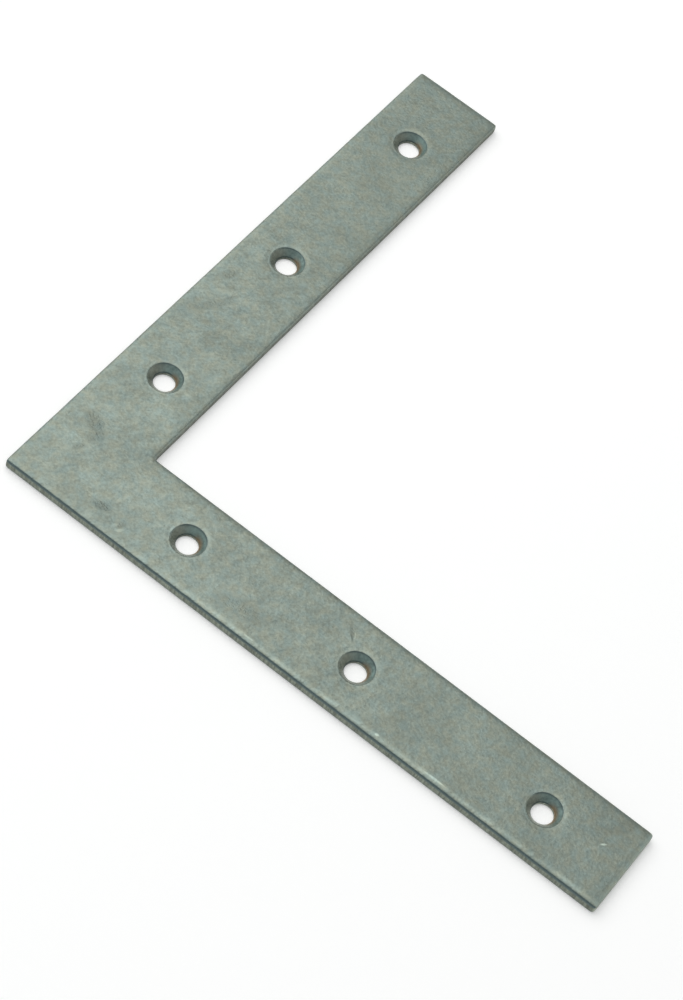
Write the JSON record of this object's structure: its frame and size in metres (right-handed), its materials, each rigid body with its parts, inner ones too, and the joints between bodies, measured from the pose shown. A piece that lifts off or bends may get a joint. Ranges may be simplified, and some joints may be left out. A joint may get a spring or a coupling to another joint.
{
  "type": "flat corner plate",
  "caption": "Flat L-shaped galvanised steel corner plate with equal arms and countersunk screw holes.",
  "frame": {"origin": "on the underside, where the centre lines of the two arms cross", "axes": "+X along one arm and +Y along the other, from the corner to their ends; +Z out of the face that the screws enter"},
  "size_m": [0.15, 0.15, 0.0025],
  "materials": {
    "galvanised_steel": "hot-dip galvanised steel: satin grey-green zinc with soft mottling, rolled edges a little darker"
  },
  "bodies": {
    "root": {"corner_plate": "galvanised_steel"}
  },
  "joints": []
}
